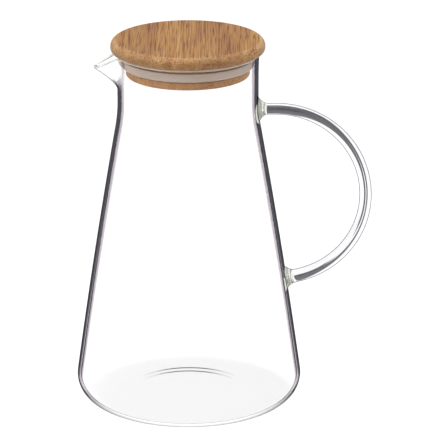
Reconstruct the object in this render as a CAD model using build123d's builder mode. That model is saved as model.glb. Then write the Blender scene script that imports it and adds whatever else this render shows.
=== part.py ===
"""Conical glass pitcher with a pinched spout, a glass-rod handle and a laminated bamboo lid.

Frame: +Z up along the body's axis, origin at the centre of the foot, handle towards +X,
spout towards -X. Millimetres.
"""

import os
from math import atan2, degrees, radians, sin

from build123d import *

# ---- glass body: one wall, its outline turned about Z ----
wall = 2.1  # thickness of the blown wall
foot_r = 55.0  # outer radius of the flat ring that stands on the table
foot_inner_r = 42.0  # inside the ring the bottom rises
punt_r = 27.0  # flat middle of the bottom
punt_height = 3.0  # how far it is pushed up
heel_radius = 14.9  # rounding between the foot and the side
lean_low = 7.9  # the side's lean from upright just above the heel, degrees
lean_high = 10.1  # and below the neck: the side is barely barrelled
side_radius = 4190.0
neck_blend_radius = 93.0
rim_z = 223.0
flare_radius = 226.0  # slight opening out below the rim
flare_angle = 3.8

# ---- spout: a nose drawn out of the rim towards -X ----
# one row per level from below: height, reach from the axis, half width at the root, at the tip
nose_levels = [
    (199.0, 41.6, 9.0, 3.2),
    (204.0, 44.2, 13.5, 4.0),
    (208.5, 50.3, 15.5, 4.6),
    (213.2, 57.4, 17.0, 5.2),
    (225.0, 64.5, 18.0, 6.4),
]
nose_root_x = 36.0  # the nose starts this far from the axis, inside the wall
nose_wall = 2.0
root_slope = 0.25  # how fast the flank closes in where it leaves the neck
waist_at = 0.38  # the flank's hollow, as a share of the way from root to tip
waist_width = 1.85  # its half width there, in tip half widths
cheek_at = 0.84  # where the tip's rounding starts
dip_x = 40.3  # the lip leaves the level rim here and falls in a straight slope
tip_x = 57.4
tip_z = 213.2

# ---- handle: a glass rod bent to a bow in the XZ plane, melted on at both ends ----
bow_x = 109.4  # centreline of the bow at its outermost point
bow_z = 131.1
bow_upper_radius = 55.4
bow_lower_radius = 53.8
rod_r_top = 3.55
rod_r_mid = 3.75
rod_r_bottom = 4.2
upper_wall_x = 43.0  # where the rod's line meets the wall
lower_wall_x = 61.2
upper_foot_r = 8.3
lower_foot_r = 7.6
foot_length = 6.0  # along the rod, from the wall to where the rod is plain
foot_spread = 0.45  # slope with which the melted glass leaves the wall
foot_sink = 4.0  # the melted ends start this far inside, before the wall trims them

# ---- lid: a cap of glued strips on a turned plug, with a silicone seal ----
cap_r = 47.2
cap_bottom_z = 223.4
cap_top_z = 231.0
cap_top_rounding = 4.2
cap_bottom_rounding = 2.4
strip_count = 7

shoulder_r = 40.2  # the plug above the seal
shoulder_bottom_z = 220.2
groove_r = 37.0  # floor of the seal's groove
groove_bottom_z = 213.6
flange_r = 37.9  # the plug below the seal, cut back so that it drops in easily
plug_bottom_z = 208.8
plug_edge = 0.8

seal_running_gap = 0.15
seal_outer_r = 40.75
seal_bottom_z = 214.1
seal_heel = 2.6  # rounding of the seal's lower outer edge, which guides it into the mouth
seal_shoulder = 0.9

bow_upper_x = bow_x - bow_upper_radius  # centres of the bow's two arcs
bow_lower_x = bow_x - bow_lower_radius
upper_z = bow_z + bow_upper_radius
lower_angle = degrees(atan2(lower_wall_x - bow_lower_x, bow_lower_radius))

os.makedirs("parts", exist_ok=True)


def body_outline(inset):
    """Half section of the filled body, from the axis out, moved inwards by inset."""
    punt = Line((0, punt_height + inset), (punt_r, punt_height + inset))
    slope = Spline(punt @ 1, (foot_inner_r, inset), tangents=((1, 0), (1, 0)))
    ring = Line(slope @ 1, (foot_r, inset))
    heel = JernArc(ring @ 1, (1, 0), heel_radius - inset, 90 + lean_low)
    side = JernArc(heel @ 1, heel % 1, side_radius - inset, lean_high - lean_low)
    blend = JernArc(side @ 1, side % 1, neck_blend_radius + inset, -lean_high)
    neck_x = (blend @ 1).X
    neck = Line(blend @ 1, (neck_x, rim_z - flare_radius * sin(radians(flare_angle))))
    flare = JernArc(neck @ 1, (0, 1), flare_radius + inset, -flare_angle)
    Polyline(flare @ 1, (0, (flare @ 1).Y), punt @ 0)


def nose_sections(inset):
    """The spout's nose, level by level, moved inwards by inset."""
    sections = []
    for z, reach, root_width, tip_width in nose_levels:
        reach, root_width, tip_width = reach - inset, root_width - inset, tip_width - inset
        length = reach - nose_root_x
        root = (-nose_root_x, root_width)
        waist = (-nose_root_x - waist_at * length, waist_width * tip_width)
        cheek = (-nose_root_x - cheek_at * length, tip_width)
        tip = (-reach, 0)
        with BuildSketch(Plane.XY.offset(z)) as level:
            with BuildLine():
                Spline(root, waist, cheek, tip, tangents=((-1, -root_slope), (0, -1)))
                mirror(about=Plane.XZ)
                Line(root, (-nose_root_x, -root_width))
            make_face()
        sections.append(level.sketch)
    return sections


with BuildPart() as glass_body:
    with BuildSketch(Plane.XZ):
        with BuildLine():
            body_outline(0)
        make_face()
    revolve(axis=Axis.Z)
    loft(nose_sections(0))
    with BuildSketch(Plane.XZ):
        with BuildLine():
            body_outline(wall)
        make_face()
    revolve(axis=Axis.Z, mode=Mode.SUBTRACT)
    loft(nose_sections(nose_wall), mode=Mode.SUBTRACT)
    with BuildSketch(Plane.XZ):
        fall = (rim_z - tip_z) / (tip_x - dip_x)
        with BuildLine():
            Polyline(
                (-dip_x, rim_z),
                (-dip_x - 40, rim_z - 40 * fall),
                (-dip_x - 40, rim_z + 10),
                (dip_x + 40, rim_z + 10),
                (dip_x + 40, rim_z),
                close=True,
            )
        make_face()
    extrude(amount=80, both=True, mode=Mode.SUBTRACT)
glass_body.part.label = "glass_body"
export_step(glass_body.part, "parts/glass_body.step")


def melted_foot(wall_point, outward, spread_r, rod_r):
    """Flare where the hot rod spread on the wall, turned about the rod's own line."""
    with BuildPart() as foot:
        with BuildSketch(Plane(origin=wall_point, x_dir=outward, z_dir=(0, -1, 0))):
            with BuildLine():
                inside = Line((-foot_sink, spread_r), (0, spread_r))
                Spline(inside @ 1, (foot_length, rod_r), tangents=((foot_spread, -1), (1, 0)))
                Polyline((foot_length, rod_r), (foot_length, 0), (-foot_sink, 0), inside @ 0)
            make_face()
        revolve(axis=Axis(wall_point, outward))
    return foot.part


with BuildPart() as filled_body:
    with BuildSketch(Plane.XZ):
        with BuildLine():
            body_outline(0)
        make_face()
    revolve(axis=Axis.Z)

with BuildLine(Plane.XZ) as bow:
    upper_run = Line((upper_wall_x - foot_sink, upper_z), (bow_upper_x, upper_z))
    upper_arc = JernArc(upper_run @ 1, (1, 0), bow_upper_radius, -90)
    lower_arc = JernArc((bow_x, bow_z), (0, -1), bow_lower_radius, -90 + lower_angle)
    Line(lower_arc @ 1, lower_arc @ 1 + foot_sink * (lower_arc % 1))

with BuildPart() as handle:
    bow_wire = bow.wire()
    for place, rod_r in ((0, rod_r_top), (0.5, rod_r_mid), (1, rod_r_bottom)):
        with BuildSketch(Plane(origin=bow_wire @ place, z_dir=bow_wire % place)):
            Circle(rod_r)
    sweep(path=bow_wire, multisection=True)
    add(melted_foot(Vector(upper_wall_x, 0, upper_z), Vector(1, 0, 0), upper_foot_r, rod_r_top))
    add(melted_foot(lower_arc @ 1, (lower_arc % 1) * -1, lower_foot_r, rod_r_bottom))
    add(filled_body.part, mode=Mode.SUBTRACT)
handle.part.label = "handle"
export_step(handle.part, "parts/handle.step")

with BuildPart() as cap:
    with BuildSketch(Plane.XY.offset(cap_bottom_z)):
        Circle(cap_r)
    extrude(amount=cap_top_z - cap_bottom_z)
    fillet(cap.edges().sort_by(Axis.Z)[-1], cap_top_rounding)
    fillet(cap.edges().sort_by(Axis.Z)[0], cap_bottom_rounding)

strip_width = 2 * cap_r / strip_count
for number in range(strip_count):
    with BuildPart() as strip:
        with BuildSketch(Plane.XY.offset(cap_bottom_z)):
            with Locations(((number + 0.5) * strip_width - cap_r, 0)):
                Rectangle(strip_width, 3 * cap_r)
        extrude(amount=cap_top_z - cap_bottom_z)
        add(cap.part, mode=Mode.INTERSECT)
    name = f"cap_strip_{number + 1}"
    strip.part.label = name
    export_step(strip.part, f"parts/{name}.step")

with BuildPart() as plug:
    with BuildSketch(Plane.XZ):
        with BuildLine():
            Polyline(
                (0, plug_bottom_z),
                (flange_r, plug_bottom_z),
                (flange_r, groove_bottom_z),
                (groove_r, groove_bottom_z),
                (groove_r, shoulder_bottom_z),
                (shoulder_r, shoulder_bottom_z),
                (shoulder_r, cap_bottom_z),
                (0, cap_bottom_z),
                close=True,
            )
        make_face()
    revolve(axis=Axis.Z)
    fillet(plug.edges().filter_by(GeomType.CIRCLE).sort_by(Axis.Z)[0], plug_edge)
plug.part.label = "plug"
export_step(plug.part, "parts/plug.step")

with BuildPart() as seal:
    with BuildSketch(Plane.XZ) as seal_section:
        with BuildLine():
            seal_inner_r = groove_r + seal_running_gap
            seal_top_z = shoulder_bottom_z - seal_running_gap
            Polyline(
                (seal_inner_r, seal_bottom_z),
                (seal_outer_r, seal_bottom_z),
                (seal_outer_r, seal_top_z),
                (seal_inner_r, seal_top_z),
                close=True,
            )
        make_face()
        outer = seal_section.vertices().group_by(Axis.X)[-1].sort_by(Axis.Y)
        fillet(outer[0], seal_heel)
        fillet(outer[-1], seal_shoulder)
    revolve(axis=Axis.Z)
seal.part.label = "seal"
export_step(seal.part, "parts/seal.step")
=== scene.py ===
from math import cos, pi, radians, sin, sqrt

import bmesh
import bpy
import numpy as np
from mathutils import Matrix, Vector


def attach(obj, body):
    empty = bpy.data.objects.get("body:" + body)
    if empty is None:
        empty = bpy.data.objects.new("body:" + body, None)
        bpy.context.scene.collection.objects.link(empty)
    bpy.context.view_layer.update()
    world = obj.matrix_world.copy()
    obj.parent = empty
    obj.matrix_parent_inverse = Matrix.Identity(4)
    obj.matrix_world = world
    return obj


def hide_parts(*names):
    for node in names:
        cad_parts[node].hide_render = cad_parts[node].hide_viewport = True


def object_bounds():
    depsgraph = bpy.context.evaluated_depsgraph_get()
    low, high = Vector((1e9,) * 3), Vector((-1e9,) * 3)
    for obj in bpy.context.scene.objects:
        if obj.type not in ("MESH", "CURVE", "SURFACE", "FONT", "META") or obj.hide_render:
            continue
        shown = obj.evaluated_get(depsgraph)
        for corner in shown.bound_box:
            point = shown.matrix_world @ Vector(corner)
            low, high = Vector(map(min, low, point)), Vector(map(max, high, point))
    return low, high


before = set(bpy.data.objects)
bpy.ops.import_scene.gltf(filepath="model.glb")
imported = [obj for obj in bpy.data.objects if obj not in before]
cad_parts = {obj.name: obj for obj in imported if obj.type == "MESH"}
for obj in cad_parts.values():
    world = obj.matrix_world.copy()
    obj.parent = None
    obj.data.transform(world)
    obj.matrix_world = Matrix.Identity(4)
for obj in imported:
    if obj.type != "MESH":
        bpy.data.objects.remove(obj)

# Lengths below are millimetres, as in the design; every mesh is scaled to metres when it is made.
MM = 0.001

# ---- body: the same outline as the design's ----
WALL = 2.1
FOOT_R = 55.0
FOOT_INNER_R = 42.0
PUNT_R = 27.0
PUNT_HEIGHT = 3.0
HEEL_RADIUS = 14.9
LEAN_LOW = 7.9
LEAN_HIGH = 10.1
SIDE_RADIUS = 4190.0
NECK_BLEND_RADIUS = 93.0
FLARE_RADIUS = 226.0
FLARE_ANGLE = 3.8
RIM_Z = 223.0
NECK_ROWS = 33  # rows of the mesh from the shoulder to the lip, where the spout pulls it out

# ---- spout: half of the lip seen from above, from where it leaves the round rim to the tip ----
LIP_PLAN = [(-36.4, 24.0), (-41.3, 15.0), (-45.6, 9.6), (-50.4, 7.2), (-55.2, 4.9), (-57.4, 0.0)]
DIP_X = 40.3  # the lip falls in a straight slope from here
DIP_SLOPE = (RIM_Z - 213.2) / (57.4 - DIP_X)
DIP_SOFTNESS = 1.2  # the slope starts in a short bend
NOSE_LOW_Z = 200.5  # the nose starts to grow out of the neck here, and is full at the lip
NOSE_GROWTH = 1.33

# ---- handle ----
BOW_X = 109.4
BOW_Z = 131.1
BOW_UPPER_RADIUS = 55.4
BOW_LOWER_RADIUS = 53.8
ROD_R_TOP = 3.55
ROD_R_MID = 3.75
ROD_R_BOTTOM = 4.2
UPPER_SPREAD_R = 8.0
LOWER_SPREAD_R = 7.4
SPREAD_LENGTH = 6.0
SPREAD_GROWTH = 2.4  # how steeply the melted end widens towards the wall
LOWER_ARC_ANGLE = 84.1  # degrees from the bow's outermost point to the lower weld
WELD_DEPTH = 0.4  # how far the melted ends sink into the wall's glass
WELD_LENGTH = 5.0  # the melted glass has its own tint up to here
WELD_PATCH_STRETCH = 1.9  # the wall is clear round the weld, this much wider than high

GLASS_IOR = 1.474

# ---- lid ----
CAP_R = 47.2
CAP_BOTTOM_Z = 223.4
CAP_TOP_Z = 231.0
CAP_TOP_ROUNDING = 4.2
CAP_BOTTOM_ROUNDING = 2.4
STRIP_COUNT = 7
STRIP_WIDTH = 2 * CAP_R / STRIP_COUNT
SEAM_GAP = 0.005
SEAL_BULGE = 1.6  # how far the seal's free edge swells into the open spout
SEAL_BULGE_ANGLE = 17  # degrees to each side of the spout

# ---- camera: a long lens, metres and degrees ----
CAMERA_PLACE = (0.0220, -1.925, 0.754)
CAMERA_PITCH = 18.44  # downwards
CAMERA_LENS = 263.25
CAMERA_SENSOR = 36.0

cad_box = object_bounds()


# ---------------------------------------------------------------- meshes

def mesh_object(name, points, faces, material, smooth=True):
    """A new object from points in millimetres."""
    mesh = bpy.data.meshes.new(name)
    mesh.from_pydata([tuple(float(c) * MM for c in p) for p in points], [], faces)
    mesh.materials.append(material)
    mesh.polygons.foreach_set("use_smooth", [smooth] * len(mesh.polygons))
    mesh.validate()
    piece = bpy.data.objects.new(name, mesh)
    bpy.context.scene.collection.objects.link(piece)
    return piece


def outward(piece):
    """Turn all face normals to the outside of a closed mesh."""
    bm = bmesh.new()
    bm.from_mesh(piece.data)
    bmesh.ops.recalc_face_normals(bm, faces=bm.faces)
    bm.to_mesh(piece.data)
    bm.free()


def ring_faces(rows, columns, first=0):
    """Quads between closed rings of points, ring after ring."""
    return [(first + i * columns + j, first + i * columns + (j + 1) % columns,
             first + (i + 1) * columns + (j + 1) % columns, first + (i + 1) * columns + j)
            for i in range(rows - 1) for j in range(columns)]


def lathe(name, profile, material, columns=192):
    """A solid turned about Z from a half profile of (radius, height) that starts and ends on the axis."""
    inner = profile[1:-1]
    points = [(r * cos(2 * pi * j / columns), r * sin(2 * pi * j / columns), z)
              for r, z in inner for j in range(columns)]
    faces = ring_faces(len(inner), columns)
    low, high = len(points), len(points) + 1
    points += [(0, 0, profile[0][1]), (0, 0, profile[-1][1])]
    last = (len(inner) - 1) * columns
    faces += [(low, (j + 1) % columns, j) for j in range(columns)]
    faces += [(high, last + j, last + (j + 1) % columns) for j in range(columns)]
    piece = mesh_object(name, points, faces, material)
    outward(piece)
    return piece


def arc(centre, radius, start, end, steps):
    """Points on an arc, angles in degrees from the first axis."""
    angles = np.radians(np.linspace(start, end, steps + 1))
    return [(centre[0] + radius * cos(a), centre[1] + radius * sin(a)) for a in angles]


def curved_run(start, heading, radius, turn, steps):
    """Points along an arc that leaves start in the given heading; a positive turn is to the left."""
    side = 1 if turn > 0 else -1
    centre = (start[0] - side * radius * sin(radians(heading)),
              start[1] + side * radius * cos(radians(heading)))
    first = heading - side * 90
    return arc(centre, radius, first, first + turn, steps)


def through(knots, first_tangent, last_tangent, steps):
    """A smooth curve through a few points, with steps points in each span."""
    knots = np.array(knots, float)
    slopes = np.empty_like(knots)
    slopes[1:-1] = (knots[2:] - knots[:-2]) / 2
    slopes[0] = np.array(first_tangent) * np.linalg.norm(knots[1] - knots[0])
    slopes[-1] = np.array(last_tangent) * np.linalg.norm(knots[-1] - knots[-2])
    points = []
    for a, b, m, n in zip(knots, knots[1:], slopes, slopes[1:]):
        for t in np.linspace(0, 1, steps, endpoint=False):
            points.append((2 * t**3 - 3 * t**2 + 1) * a + (t**3 - 2 * t**2 + t) * m
                          + (3 * t**2 - 2 * t**3) * b + (t**3 - t**2) * n)
    points.append(knots[-1])
    return np.array(points)


# ---------------------------------------------------------------- glass body

def smoothstep(x):
    x = np.clip(x, 0, 1)
    return x * x * (3 - 2 * x)


def side_profile():
    """Outer half profile (radius, height) from the heel up to the shoulder, above the foot's flat ring."""
    heel = curved_run((FOOT_R, 0), 0, HEEL_RADIUS, 90 + LEAN_LOW, 20)[1:]
    side = curved_run(heel[-1], 90 + LEAN_LOW, SIDE_RADIUS, LEAN_HIGH - LEAN_LOW, 40)[1:]
    blend = curved_run(side[-1], 90 + LEAN_HIGH, NECK_BLEND_RADIUS, -LEAN_HIGH, 12)[1:]
    return heel + side + blend


def body_profile():
    """Outer half profile (radius, height) from the middle of the bottom up to the shoulder."""
    bottom = [(r, PUNT_HEIGHT) for r in np.linspace(0, PUNT_R, 6)]
    bottom += [(PUNT_R + t * (FOOT_INNER_R - PUNT_R), PUNT_HEIGHT * (1 - smoothstep(t)))
               for t in np.linspace(0, 1, 17)[1:]]
    ring = [(r, 0) for r in np.linspace(FOOT_INNER_R, FOOT_R, 5)[1:]]
    return bottom + ring + side_profile()


def neck_radius(z, neck_r):
    """Outer radius of the round neck, which opens out slightly towards the rim."""
    flare_start = RIM_Z - FLARE_RADIUS * sin(radians(FLARE_ANGLE))
    rise = np.clip(z - flare_start, 0, None)
    return neck_r + FLARE_RADIUS - np.sqrt(FLARE_RADIUS**2 - rise**2)


def lip_columns(rim_r):
    """For each column of the mesh: its place on the round neck and on the lip, and the lip's height."""
    half = through(LIP_PLAN, first_tangent=(-0.55, -0.835), last_tangent=(0, -1), steps=14)
    lip = np.concatenate([half, half[-2::-1] * (1, -1)])
    leave = np.arctan2(half[0][1], half[0][0])
    spans = np.linalg.norm(np.diff(lip, axis=0), axis=1)
    share = np.concatenate([[0], np.cumsum(spans)]) / spans.sum()
    nose_angles = leave + share * 2 * (pi - leave)
    rest_angles = np.linspace(nose_angles[-1], leave + 2 * pi, 184)[1:-1]
    angles = np.concatenate([nose_angles, rest_angles])
    neck = np.stack([np.cos(angles), np.sin(angles)], axis=1)
    plan = np.concatenate([lip, neck[len(lip):] * rim_r])
    drop = -plan[:, 0] - DIP_X
    soft = DIP_SOFTNESS**2
    drop = (drop + np.sqrt(drop**2 + soft)) / 2 - (sqrt(4 * DIP_X**2 + soft) - 2 * DIP_X) / 2
    return neck, plan, RIM_Z - DIP_SLOPE * drop


def weld_centres():
    """Where the rod's line meets the wall, upper and lower, with the radius of the melted glass there."""
    path = bow_path()
    return [(Vector((path[0][0], 0, path[0][1])), UPPER_SPREAD_R),
            (Vector((path[-1][0], 0, path[-1][1])), LOWER_SPREAD_R)]


def glass_body(material, rim_material, weld_material):
    """One closed wall: outer grid, rounded rim, inner grid offset by the wall's thickness."""
    profile = body_profile()
    neck_r = profile[-1][0]
    rim_r = float(neck_radius(RIM_Z, neck_r))
    neck, plan, lip_z = lip_columns(rim_r)
    columns = len(neck)
    half_wall = WALL / 2

    rows = [np.column_stack([neck * r, np.full(columns, z)]) for r, z in profile[1:]]
    start_z = profile[-1][1]
    for share in np.linspace(0, 1, NECK_ROWS + 1)[1:]:
        z = start_z + share * (lip_z - half_wall - start_z)
        round_part = neck * neck_radius(z, neck_r)[:, None]
        pull = np.clip((z - NOSE_LOW_Z) / (lip_z - half_wall - NOSE_LOW_Z), 0, 1) ** NOSE_GROWTH
        nose = (plan - neck * rim_r) * pull[:, None]
        rows.append(np.column_stack([round_part + nose, z]))
    outer = np.array(rows)

    along = np.roll(outer, -1, axis=1) - np.roll(outer, 1, axis=1)
    up = np.gradient(outer, axis=0)
    normal = np.cross(along, up)
    normal /= np.linalg.norm(normal, axis=2, keepdims=True)
    inner = outer - WALL * normal

    top_up = up[-1] / np.linalg.norm(up[-1], axis=1, keepdims=True)
    middle = outer[-1] - half_wall * normal[-1]
    rim = np.array([middle + half_wall * (cos(a) * normal[-1] + sin(a) * top_up)
                    for a in np.linspace(0, pi, 11)[1:-1]])

    grid = np.concatenate([outer, rim, inner[::-1]])
    points = [tuple(p) for p in grid.reshape(-1, 3)]
    faces = ring_faces(len(grid), columns)
    below, above = len(points), len(points) + 1
    points += [(0, 0, PUNT_HEIGHT), (0, 0, PUNT_HEIGHT + WALL)]
    last = (len(grid) - 1) * columns
    faces += [(below, (j + 1) % columns, j) for j in range(columns)]
    faces += [(above, last + j, last + (j + 1) % columns) for j in range(columns)]
    piece = mesh_object("glass_wall", points, faces, material)
    piece.data.materials.append(rim_material)
    for face in piece.data.polygons[(len(outer) - 1) * columns:(len(outer) + len(rim)) * columns]:
        face.material_index = 1
    piece.data.materials.append(weld_material)
    for centre, spread_r in weld_centres():
        for face in piece.data.polygons:
            offset = face.center / MM - centre
            offset.y /= WELD_PATCH_STRETCH
            if offset.length < spread_r:
                face.material_index = 2
    outward(piece)
    return piece


# ---------------------------------------------------------------- handle

def wall_radius_at(z):
    """The body's outer radius at a height."""
    profile = np.array(side_profile())
    return float(np.interp(z, profile[:, 1], profile[:, 0]))


def bow_path():
    """Centreline of the rod in (x, z), from the upper weld to the lower one."""
    upper_z = BOW_Z + BOW_UPPER_RADIUS
    upper_centre = (BOW_X - BOW_UPPER_RADIUS, BOW_Z)
    lower_centre = (BOW_X - BOW_LOWER_RADIUS, BOW_Z)
    lead = [(x, upper_z) for x in np.linspace(wall_radius_at(upper_z), upper_centre[0], 16)[:-1]]
    upper = arc(upper_centre, BOW_UPPER_RADIUS, 90, 0, 60)[:-1]
    lower = arc(lower_centre, BOW_LOWER_RADIUS, 0, -LOWER_ARC_ANGLE, 60)
    return np.array(lead + upper + lower)


def handle_rod(material, weld_material):
    """A round rod along the bow, spread into a melted foot at each end."""
    path = bow_path()
    count = len(path)
    sides = 48
    travel = np.concatenate([[0], np.cumsum(np.linalg.norm(np.diff(path, axis=0), axis=1))])
    total = travel[-1]
    radius = np.interp(travel / total, [0, 0.5, 1], [ROD_R_TOP, ROD_R_MID, ROD_R_BOTTOM])
    tangent = np.gradient(path, travel, axis=0)
    tangent /= np.linalg.norm(tangent, axis=1, keepdims=True)

    def flare(distance, rod_r, spread_r):
        share = np.clip(1 - distance / SPREAD_LENGTH, 0, 1)
        return rod_r + (spread_r - rod_r) * share**SPREAD_GROWTH

    points = []
    for i in range(count):
        r = flare(travel[i], radius[i], UPPER_SPREAD_R)
        r = r + flare(total - travel[i], radius[i], LOWER_SPREAD_R) - radius[i]
        across = np.array([-tangent[i][1], tangent[i][0]])
        for k in range(sides):
            angle = 2 * pi * k / sides
            x, z = path[i] + across * r * cos(angle)
            points.append([x, r * sin(angle), z])
    points = np.array(points).reshape(count, sides, 3)

    # each end is bent to the round wall, fading out over a few rings of the mesh
    for end, step, rings in ((0, 1, 10), (count - 1, -1, 6)):
        for k in range(sides):
            x, y, z = points[end][k]
            shift = sqrt((wall_radius_at(z) - WELD_DEPTH) ** 2 - y**2) - x
            for n in range(rings):
                points[end + step * n][k][0] += shift * (1 - n / rings) ** 2

    faces = ring_faces(count, sides)
    flat = [tuple(p) for p in points.reshape(-1, 3)]
    for end in (0, count - 1):
        centre = points[end].mean(axis=0)
        centre[0] = wall_radius_at(centre[2]) - WELD_DEPTH
        flat.append(tuple(centre))
        base = end * sides
        faces += [(len(flat) - 1, base + k, base + (k + 1) % sides) for k in range(sides)]
    piece = mesh_object("glass_handle", flat, faces, material)
    piece.data.materials.append(weld_material)
    near_end = np.minimum(travel, total - travel) < WELD_LENGTH
    for face in piece.data.polygons:
        rings = [v // sides for v in face.vertices if v < count * sides]
        face.material_index = int(near_end[rings].all())
    outward(piece)
    return piece


# ---------------------------------------------------------------- lid

def cap_profile():
    top = arc((CAP_R - CAP_TOP_ROUNDING, CAP_TOP_Z - CAP_TOP_ROUNDING), CAP_TOP_ROUNDING, 0, 90, 14)
    low = arc((CAP_R - CAP_BOTTOM_ROUNDING, CAP_BOTTOM_Z + CAP_BOTTOM_ROUNDING), CAP_BOTTOM_ROUNDING,
              -90, 0, 10)
    flat = [(r, CAP_BOTTOM_Z) for r in (0, 15, 30, 41)]
    face = [(r, CAP_TOP_Z) for r in (40, 28, 14, 0)]
    return flat + low + top + face


def cap_strip(number, material):
    """One bamboo strip of the turned cap, cut from the whole disc between two seams."""
    piece = lathe(f"lid_strip_{number + 1}", cap_profile(), material)
    left = number * STRIP_WIDTH - CAP_R
    bm = bmesh.new()
    bm.from_mesh(piece.data)
    for x, side in ((left + SEAM_GAP, -1), (left + STRIP_WIDTH - SEAM_GAP, 1)):
        cut = bmesh.ops.bisect_plane(
            bm, geom=bm.verts[:] + bm.edges[:] + bm.faces[:], dist=1e-7,
            plane_co=(x * MM, 0, 0), plane_no=(side, 0, 0), clear_outer=True)
        rim = [e for e in cut["geom_cut"] if isinstance(e, bmesh.types.BMEdge)]
        if rim:
            for face in bmesh.ops.contextual_create(bm, geom=rim)["faces"]:
                face.smooth = False
            for edge in rim:
                edge.smooth = False
    bmesh.ops.recalc_face_normals(bm, faces=bm.faces)
    bm.to_mesh(piece.data)
    bm.free()
    return piece


def plug(material):
    """The turned disc under the cap: shoulder, groove for the seal, lower flange with eased edges."""
    profile = [(0, 208.8), (20, 208.8), (36.6, 208.8)]
    profile += arc((36.9, 209.8), 1.0, -90, 0, 6)
    profile += arc((37.5, 213.2), 0.4, 0, 90, 4) + [(37.05, 213.6), (37.0, 213.7), (37.0, 220.1)]
    profile += [(37.1, 220.2)] + arc((39.9, 220.5), 0.3, -90, 0, 4) + [(40.2, 223.3)]
    profile += [(40.1, 223.4), (20, 223.4), (0, 223.4)]
    return lathe("lid_plug", profile, material)


def seal(material):
    """The silicone ring; its free edge bulges a little into the open spout."""
    outline = [(37.15, 214.3), (38.2, 214.12)]
    outline += arc((38.6, 216.3), 2.2, -75, -8, 8) + [(40.75, 217.4), (40.78, 218.6)]
    outline += arc((40.0, 219.25), 0.78, 0, 90, 5) + [(37.4, 220.05), (37.15, 219.9)]
    columns = 192
    points = []
    for r, z in outline:
        for j in range(columns):
            angle = 2 * pi * j / columns
            off = abs(angle - pi) / radians(SEAL_BULGE_ANGLE)
            bulge = SEAL_BULGE * (1 - smoothstep(off)) * max(0, r - 37.6) / 3.2
            points.append(((r + bulge) * cos(angle), (r + bulge) * sin(angle), z))
    faces = ring_faces(len(outline), columns)
    last = (len(outline) - 1) * columns
    faces += [(last + j, last + (j + 1) % columns, (j + 1) % columns, j) for j in range(columns)]
    piece = mesh_object("lid_seal", points, faces, material)
    outward(piece)
    return piece


# ---------------------------------------------------------------- materials

def new_material(name):
    material = bpy.data.materials.new(name)
    material.use_nodes = True
    tree = material.node_tree
    return material, tree, tree.nodes["Principled BSDF"], tree.nodes["Material Output"]


def colour_ramp(tree, value, stops):
    """A colour for each value, between stops of (value, colour) in rising order."""
    ramp = tree.nodes.new("ShaderNodeValToRGB")
    elements = ramp.color_ramp.elements
    elements[1].position, elements[0].position = stops[-1][0], stops[0][0]
    for place, _ in stops[1:-1]:
        elements.new(place)
    for element, (_, colour) in zip(elements, stops):
        element.color = (*colour, 1)
    tree.links.new(value, ramp.inputs["Fac"])
    return ramp.outputs["Color"]


def map_range(tree, value, source, target):
    """A value carried from one range to another and held at both ends."""
    node = tree.nodes.new("ShaderNodeMapRange")
    node.inputs["From Min"].default_value, node.inputs["From Max"].default_value = source
    node.inputs["To Min"].default_value, node.inputs["To Max"].default_value = target
    tree.links.new(value, node.inputs["Value"])
    return node.outputs["Result"]


def colour_mix(tree, amount, below, above):
    """Two colours, each a tuple or a socket, mixed by an amount: 0 gives the one below."""
    node = tree.nodes.new("ShaderNodeMix")
    node.data_type = "RGBA"
    tree.links.new(amount, node.inputs["Factor"])
    for colour, socket in ((below, node.inputs["A"]), (above, node.inputs["B"])):
        if isinstance(colour, tuple):
            socket.default_value = (*colour, 1)
        else:
            tree.links.new(colour, socket)
    return node.outputs["Result"]


def math_node(tree, operation, *values):
    """A sum on two or three values, each a number or a socket."""
    node = tree.nodes.new("ShaderNodeMath")
    node.operation = operation
    for value, socket in zip(values, node.inputs):
        if isinstance(value, (int, float)):
            socket.default_value = value
        else:
            tree.links.new(value, socket)
    return node.outputs["Value"]


def pass_light_plainly(tree, surface, output):
    """Light on its way to a matt surface passes the glass plainly, so that it throws no shadow."""
    path = tree.nodes.new("ShaderNodeLightPath")
    plain_ray = math_node(tree, "MAXIMUM", path.outputs["Is Shadow Ray"], path.outputs["Is Diffuse Ray"])
    clear = tree.nodes.new("ShaderNodeBsdfTransparent")
    clear.inputs["Color"].default_value = (0.998, 0.998, 0.998, 1)
    mix = tree.nodes.new("ShaderNodeMixShader")
    tree.links.new(plain_ray, mix.inputs["Fac"])
    tree.links.new(surface, mix.inputs[1])
    tree.links.new(clear.outputs["BSDF"], mix.inputs[2])
    tree.links.new(mix.outputs["Shader"], output.inputs["Surface"])


def facing_node(tree):
    """The node that tells how far a surface is turned from the eye, 0 head on to 1 edge on."""
    weight = tree.nodes.new("ShaderNodeLayerWeight")
    weight.inputs["Blend"].default_value = 0.5
    return weight


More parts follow.
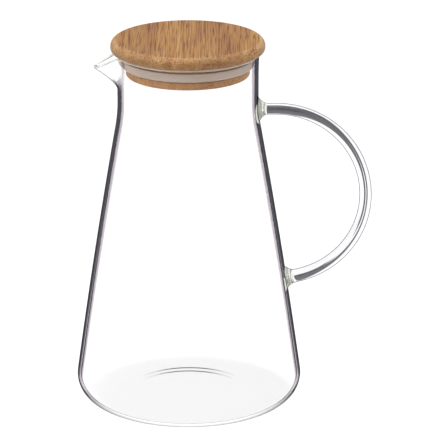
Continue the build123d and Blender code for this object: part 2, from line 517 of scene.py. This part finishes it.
def painted_wall_edge_shade(tree, clear, stops):
    """The painted shade of a wall's outline, from the clear middle out to the edge.

    The wall counts as turned upwards a little, so that it stays clear where it is looked down on;
    the painted shade is broader on the narrow neck, and faint where the glass faces the table.
    """
    normal = tree.nodes.new("ShaderNodeNewGeometry").outputs["Normal"]
    turned = tree.nodes.new("ShaderNodeSeparateXYZ")
    tree.links.new(normal, turned.inputs["Vector"])
    lean = tree.nodes.new("ShaderNodeCombineXYZ")
    tree.links.new(map_range(tree, turned.outputs["Z"], (-0.3, 0.0), (0.0, 0.2)), lean.inputs["Z"])
    leaning = tree.nodes.new("ShaderNodeVectorMath")
    tree.links.new(normal, leaning.inputs[0])
    tree.links.new(lean.outputs["Vector"], leaning.inputs[1])
    unit = tree.nodes.new("ShaderNodeVectorMath")
    unit.operation = "NORMALIZE"
    tree.links.new(leaning.outputs["Vector"], unit.inputs[0])
    weight = facing_node(tree)
    tree.links.new(unit.outputs["Vector"], weight.inputs["Normal"])

    place = tree.nodes.new("ShaderNodeSeparateXYZ")
    tree.links.new(tree.nodes.new("ShaderNodeTexCoord").outputs["Object"], place.inputs["Vector"])
    by_height = map_range(tree, place.outputs["Z"], (0.015, 0.195), (0.03, 0.135))
    edge = math_node(tree, "ADD", weight.outputs["Facing"], by_height)
    colours = colour_ramp(tree, edge, [(stops[0][0] - 0.04, clear), *stops])
    strength = map_range(tree, turned.outputs["Z"], (-0.95, -0.30), (0.25, 1.0))
    return colour_mix(tree, strength, clear, colours)


def clear_glass_material(name, clear, edge_shade_stops):
    """Thin clear glass: plain to look through, with painted shade as the dark outline of a wall seen edge
    on.
    """
    material, tree, shader, output = new_material(name)
    nodes, links = tree.nodes, tree.links
    shader.inputs["Base Color"].default_value = (0.97, 0.97, 0.975, 1)
    shader.inputs["Transmission Weight"].default_value = 1.0
    shader.inputs["Roughness"].default_value = 0.0
    shader.inputs["IOR"].default_value = GLASS_IOR

    # where the eye's ray enters, painted shade darkens the glass towards its outline; deeper in, painted
    # shade shows only on slopes that lie along the ray, such as the far side of the raised bottom
    outline = painted_wall_edge_shade(tree, clear, edge_shade_stops)
    slopes = colour_ramp(tree, facing_node(tree).outputs["Facing"], [
        (0.80, (1, 1, 1)), (0.86, (0.84, 0.85, 0.86)), (0.885, (0.52, 0.52, 0.52)),
        (0.905, (0.10, 0.09, 0.085))])
    path = nodes.new("ShaderNodeLightPath")
    straight = nodes.new("ShaderNodeBsdfTransparent")
    links.new(colour_mix(tree, path.outputs["Transparent Depth"], outline, slopes), straight.inputs["Color"])

    glass = nodes.new("ShaderNodeMixShader")
    links.new(path.outputs["Is Camera Ray"], glass.inputs["Fac"])
    links.new(shader.outputs["BSDF"], glass.inputs[1])
    links.new(straight.outputs["BSDF"], glass.inputs[2])
    pass_light_plainly(tree, glass.outputs["Shader"], output)
    return material


def solid_glass_material(name, tint, transmission, outline, edge_shade_range):
    """Glass that bends what is seen through it, with painted shade as a thin dark line where it is seen edge
    on.
    """
    material, tree, shader, output = new_material(name)
    shader.inputs["Base Color"].default_value = (*tint, 1)
    shader.inputs["Transmission Weight"].default_value = transmission
    shader.inputs["Roughness"].default_value = 0.0
    shader.inputs["IOR"].default_value = GLASS_IOR
    # painted shade: a dark see-through colour, mixed in where the glass is seen edge on
    edge = tree.nodes.new("ShaderNodeBsdfTransparent")
    edge.inputs["Color"].default_value = (*outline, 1)
    mix = tree.nodes.new("ShaderNodeMixShader")
    amount = map_range(tree, facing_node(tree).outputs["Facing"], edge_shade_range, (0.0, 1.0))
    tree.links.new(amount, mix.inputs["Fac"])
    tree.links.new(shader.outputs["BSDF"], mix.inputs[1])
    tree.links.new(edge.outputs["BSDF"], mix.inputs[2])
    pass_light_plainly(tree, mix.outputs["Shader"], output)
    return material


def bamboo_material(name, light, dark, streak, darkest_strip):
    """Laminated bamboo: fibres along Y with dark dashes, which show as dots on the end grain."""
    material, tree, shader, output = new_material(name)
    nodes, links = tree.nodes, tree.links
    place = nodes.new("ShaderNodeTexCoord").outputs["Object"]

    def noise(scale, detail, vector=place, roughness=0.5):
        mapping = nodes.new("ShaderNodeMapping")
        mapping.inputs["Scale"].default_value = scale
        links.new(vector, mapping.inputs["Vector"])
        node = nodes.new("ShaderNodeTexNoise")
        node.inputs["Scale"].default_value = 1.0
        node.inputs["Detail"].default_value = detail
        node.inputs["Roughness"].default_value = roughness
        links.new(mapping.outputs["Vector"], node.inputs["Vector"])
        return node.outputs["Fac"]

    def multiply(below, above, amount=None):
        node = nodes.new("ShaderNodeMix")
        node.data_type = "RGBA"
        node.blend_type = "MULTIPLY"
        node.inputs["Factor"].default_value = 1.0
        if amount is not None:
            links.new(amount, node.inputs["Factor"])
        links.new(below, node.inputs["A"])
        links.new(above, node.inputs["B"])
        return node.outputs["Result"]

    split = nodes.new("ShaderNodeSeparateXYZ")
    links.new(place, split.inputs["Vector"])
    from_left = math_node(tree, "ADD", split.outputs["X"], CAP_R * MM)
    strip = math_node(tree, "FLOOR", math_node(tree, "DIVIDE", from_left, STRIP_WIDTH * MM))
    wander = nodes.new("ShaderNodeTexWhiteNoise")
    wander.noise_dimensions = "1D"
    links.new(strip, wander.inputs["W"])
    strip_tone = colour_ramp(tree, wander.outputs["Value"], [(0.0, darkest_strip), (1.0, (1, 1, 1))])
    shifted = nodes.new("ShaderNodeVectorMath")
    links.new(place, shifted.inputs[0])
    links.new(wander.outputs["Color"], shifted.inputs[1])
    grain = shifted.outputs["Vector"]

    turned = nodes.new("ShaderNodeSeparateXYZ")
    links.new(nodes.new("ShaderNodeTexCoord").outputs["Normal"], turned.inputs["Vector"])
    along = colour_ramp(tree, turned.outputs["Z"], [(0.80, (0.12, 0.12, 0.12)), (0.99, (1, 1, 1))])
    # painted light and shade by facing: rounded edges lightest (painted highlight), sides and underside
    # darker (painted shade), flat top darker and yellower
    light_and_shade_by_facing = colour_ramp(tree, turned.outputs["Z"], [(0.0, (0.86, 0.84, 0.84)), (0.72, (1, 1, 1)),
                                                     (0.97, (1, 1, 1)), (1.0, (0.90, 0.84, 0.60))])
    ground = colour_ramp(tree, noise((190, 7, 190), 3.0, grain), [(0.32, dark), (0.68, light)])
    fibres = colour_ramp(tree, noise((1500, 12, 1500), 2.0, grain),
                         [(0.38, (0.80, 0.70, 0.54)), (0.58, (1, 1, 1))])
    dashes = colour_ramp(tree, noise((1500, 24, 1500), 1.5, grain, 0.4), [(0.52, (1, 1, 1)), (0.66, streak)])
    pores = colour_ramp(tree, noise((2100, 50, 2100), 1.0, grain, 0.3), [(0.58, (1, 1, 1)), (0.68, streak)])
    dashes = multiply(dashes, pores, along)
    ground = multiply(ground, light_and_shade_by_facing)
    colour = multiply(multiply(multiply(ground, fibres), dashes), strip_tone)
    links.new(colour, shader.inputs["Base Color"])
    roughness = math_node(tree, "MULTIPLY_ADD", noise((600, 30, 600), 2.0, grain), 0.2, 0.42)
    links.new(roughness, shader.inputs["Roughness"])
    bump = nodes.new("ShaderNodeBump")
    bump.inputs["Strength"].default_value = 0.35
    bump.inputs["Distance"].default_value = 0.00012
    links.new(noise((1500, 40, 1500), 2.0, grain), bump.inputs["Height"])
    links.new(bump.outputs["Normal"], shader.inputs["Normal"])
    return material


def silicone_material(name):
    """Milky translucent silicone."""
    material, tree, shader, output = new_material(name)
    shader.inputs["Base Color"].default_value = (0.42, 0.337, 0.285, 1)
    shader.inputs["Roughness"].default_value = 0.42
    shader.inputs["Subsurface Weight"].default_value = 0.4
    shader.inputs["Subsurface Radius"].default_value = (0.004, 0.0035, 0.003)
    shader.inputs["IOR"].default_value = 1.41
    return material


def floor_material():
    material, tree, shader, output = new_material("pale_floor")
    shader.inputs["Base Color"].default_value = (0.75, 0.75, 0.75, 1)
    shader.inputs["Roughness"].default_value = 0.9
    return material


# ---------------------------------------------------------------- studio

def flat_sheet(name, low, high, z, material):
    """A level rectangle of the set, corners in metres."""
    mesh = bpy.data.meshes.new(name)
    mesh.from_pydata([(low[0], low[1], z), (high[0], low[1], z), (high[0], high[1], z),
                      (low[0], high[1], z)], [], [(0, 1, 2, 3)])
    mesh.materials.append(material)
    sheet = bpy.data.objects.new(name, mesh)
    bpy.context.scene.collection.objects.link(sheet)
    return sheet


def sky():
    """White, but dark low down in front and behind; plain white where the camera sees it directly."""
    world = bpy.data.worlds.new("studio_sky")
    world.use_nodes = True
    tree = world.node_tree
    split = tree.nodes.new("ShaderNodeSeparateXYZ")
    tree.links.new(tree.nodes.new("ShaderNodeTexCoord").outputs["Generated"], split.inputs["Vector"])
    aside = math_node(tree, "ABSOLUTE", split.outputs["X"])
    bright = math_node(tree, "MAXIMUM", map_range(tree, aside, (0.16, 0.24), (0.0, 1.0)),
                       map_range(tree, split.outputs["Z"], (0.40, 0.52), (0.0, 1.0)))
    white = (1, 1, 1)
    colour = colour_ramp(tree, bright, [(0.0, (0.09, 0.088, 0.10)), (1.0, white)])
    seen = tree.nodes.new("ShaderNodeLightPath").outputs["Is Camera Ray"]
    background = tree.nodes["Background"]
    tree.links.new(colour_mix(tree, seen, colour, white), background.inputs["Color"])
    background.inputs["Strength"].default_value = 1.15
    bpy.context.scene.world = world


def studio(floor_z):
    """A pale floor under a soft sky. Glass that bends light shows lit sheets with dark round them."""
    floor = flat_sheet("floor", (-6, -6), (6, 6), floor_z - 0.0003, floor_material())
    floor.visible_transmission = False

    glow = bpy.data.materials.new("lit_table")
    glow.use_nodes = True
    nodes = glow.node_tree.nodes
    nodes.remove(nodes["Principled BSDF"])
    emission = nodes.new("ShaderNodeEmission")
    emission.inputs["Color"].default_value = (1, 1, 1, 1)
    emission.inputs["Strength"].default_value = 1.05
    glow.node_tree.links.new(emission.outputs["Emission"], nodes["Material Output"].inputs["Surface"])
    for name, low, high in (("lit_table", (-0.10, -0.30), (0.10, 0.21)),
                            ("lit_table_side", (0.10, -0.30), (0.22, 0.28)),
                            ("lit_table_far", (0.085, 0.28), (0.125, 0.45))):
        table = flat_sheet(name, low, high, floor_z - 0.0006, glow)
        table.visible_camera = False
        table.visible_diffuse = False
        table.visible_glossy = False
        table.visible_shadow = False

    sky()
    for name, place, size_x, size_y, power in (
            ("lamp_top", (0.0, 0.0, 1.5), 1.2, 1.6, 12.0),
            ("lamp_left", (-1.2, -0.6, 1.0), 0.8, 1.2, 6.0)):
        data = bpy.data.lights.new(name, "AREA")
        data.shape = "RECTANGLE"
        data.size, data.size_y = size_x, size_y
        data.energy = power
        lamp = bpy.data.objects.new(name, data)
        lamp.location = place
        lamp.rotation_euler = (Vector((0, 0, 0.12)) - Vector(place)).to_track_quat("-Z", "Y").to_euler()
        bpy.context.scene.collection.objects.link(lamp)


def camera():
    """Long lens, looking down on the pitcher from straight in front."""
    data = bpy.data.cameras.new("camera")
    data.sensor_width = CAMERA_SENSOR
    data.lens = CAMERA_LENS
    view = bpy.data.objects.new("camera", data)
    view.location = CAMERA_PLACE
    view.rotation_euler = (radians(90 - CAMERA_PITCH), 0, 0)
    bpy.context.scene.collection.objects.link(view)
    bpy.context.scene.camera = view


# ---------------------------------------------------------------- assembly

def stand_for(piece, body, slot, *nodes):
    """The piece replaces these design nodes and moves with their body."""
    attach(piece, body)
    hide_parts(*nodes)


# the stops are the painted shade of the wall's outline, from violet-grey to near black towards the edge
wall_glass = clear_glass_material("wall_glass", (0.982, 0.982, 0.984), [
    (0.70, (0.50, 0.455, 0.49)), (0.762, (0.43, 0.385, 0.43)), (0.798, (0.08, 0.077, 0.09)),
    (0.88, (0.05, 0.05, 0.062)), (0.97, (0.12, 0.12, 0.14))])
# round the welds the painted shade of the outline is paler
weld_patch_glass = clear_glass_material("weld_patch_glass", (0.95, 0.965, 0.92), [
    (0.78, (0.70, 0.72, 0.66)), (0.90, (0.45, 0.46, 0.42)), (0.97, (0.10, 0.10, 0.10))])
# the last two values of each are the colour and the facing range of its painted edge shade
rim_glass = solid_glass_material("rim_glass", (0.86, 0.88, 0.84), 0.6, (0.35, 0.37, 0.33), (0.70, 0.85))
rod_glass = solid_glass_material("rod_glass", (0.93, 0.93, 0.94), 1.0, (0.40, 0.385, 0.45), (0.50, 0.62))
weld_glass = solid_glass_material("weld_glass", (0.87, 0.90, 0.82), 0.90, (0.28, 0.29, 0.27), (0.66, 0.80))
cap_bamboo = bamboo_material("cap_bamboo", (0.405, 0.24, 0.088), (0.30, 0.14, 0.034),
                             (0.50, 0.32, 0.14), (0.86, 0.82, 0.78))
plug_bamboo = bamboo_material("plug_bamboo", (0.54, 0.30, 0.13), (0.42, 0.23, 0.095),
                              (0.60, 0.50, 0.40), (0.90, 0.88, 0.86))
silicone = silicone_material("milky_silicone")

stand_for(glass_body(wall_glass, rim_glass, weld_patch_glass), "vessel", "clear_glass", "glass_body")
stand_for(handle_rod(rod_glass, weld_glass), "vessel", "rod_glass", "handle")
for index in range(STRIP_COUNT):
    stand_for(cap_strip(index, cap_bamboo), "lid", "cap_bamboo", f"cap_strip_{index + 1}")
stand_for(plug(plug_bamboo), "lid", "plug_bamboo", "plug")
stand_for(seal(silicone), "gasket", "silicone", "seal")

studio(cad_box[0][2])
camera()
bpy.context.scene.view_settings.view_transform = "Standard"
